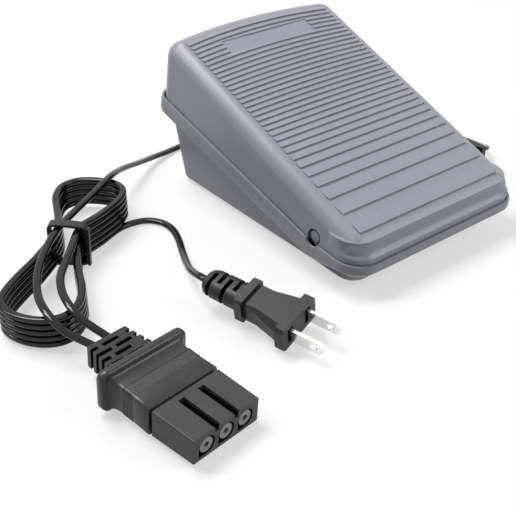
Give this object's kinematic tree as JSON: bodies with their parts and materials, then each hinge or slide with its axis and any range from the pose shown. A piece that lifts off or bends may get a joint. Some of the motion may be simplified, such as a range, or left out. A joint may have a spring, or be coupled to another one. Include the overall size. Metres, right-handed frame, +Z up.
{
  "type": "sewing machine pedal",
  "caption": "Foot control for a sewing machine: sprung ribbed treadle over a wedge base, speed control inside, hanked lead, mains plug and machine connector",
  "frame": {"origin": "centre of the pedal's footprint on the floor, without the cords", "axes": "+X to the right, +Y to the high rear end, +Z up"},
  "size_m": [0.2966, 0.2189, 0.0799],
  "materials": {
    "grey_base": "moulded, fine satin grain",
    "rubber": "matt rubber",
    "grey_tread": "moulded, fine satin grain",
    "steel": "plated",
    "board": "solder resist",
    "housing": "moulded",
    "white_nylon": "moulded",
    "brass": "bright",
    "black_pvc": "soft satin PVC",
    "aluminium": "extruded",
    "amber": "dipped",
    "ferrite": "sintered",
    "copper": "enamelled wire",
    "resistor": "coated",
    "terminal": "moulded",
    "lead_skin": "insulation",
    "nickel": "nickel plate",
    "housing_dark": "moulded"
  },
  "bodies": {
    "base": {"base_shell": "grey_base", "rubber_feet": "rubber", "pivot_pin_left": "grey_base", "pivot_pin_right": "grey_base", "return_spring_left": "steel", "return_spring_right": "steel", "circuit_board": "board", "board_screws": "steel", "control_housing": "housing", "control_spring": "steel", "triac": "black_pvc", "heat_sink": "aluminium", "capacitor": "amber", "choke_core": "ferrite", "choke_winding": "copper", "resistors": "resistor", "terminal_block": "terminal", "terminal_screws": "steel", "cord_clamp": "white_nylon", "clamp_screws": "steel", "inner_leads": "lead_skin", "cord_outlet": "black_pvc", "pedal_lead": "black_pvc", "lead_plug_run": "black_pvc", "lead_hank": "black_pvc", "lead_connector_run": "black_pvc", "cable_tie": "black_pvc", "plug_relief": "black_pvc", "plug_body": "black_pvc", "plug_blades": "nickel", "connector_relief": "black_pvc", "connector_body": "black_pvc", "connector_sleeves": "housing_dark", "connector_contacts": "brass"},
    "treadle": {"treadle": "grey_tread"},
    "plunger": {"control_plunger": "white_nylon", "wiper_contact": "brass"}
  },
  "joints": [
    {"name": "treadle_press", "type": "hinge", "parent": "base", "child": "treadle", "pos_m": [0, -0.0505, 0.021], "axis": [-1, 0, 0], "range_deg": [0, 3], "stiffness_Nm_per_rad": 20, "springref_deg": -2.86, "deforming": ["return_spring_left", "return_spring_right"]},
    {"name": "plunger_travel", "type": "slide", "parent": "base", "child": "plunger", "axis": [0, 0, -1], "range_m": [0, 0.0036], "deforming": ["control_spring"]}
  ],
  "couplings": [
    {"joint": "plunger_travel", "follows": "treadle_press", "m_per_rad": 0.0668}
  ]
}
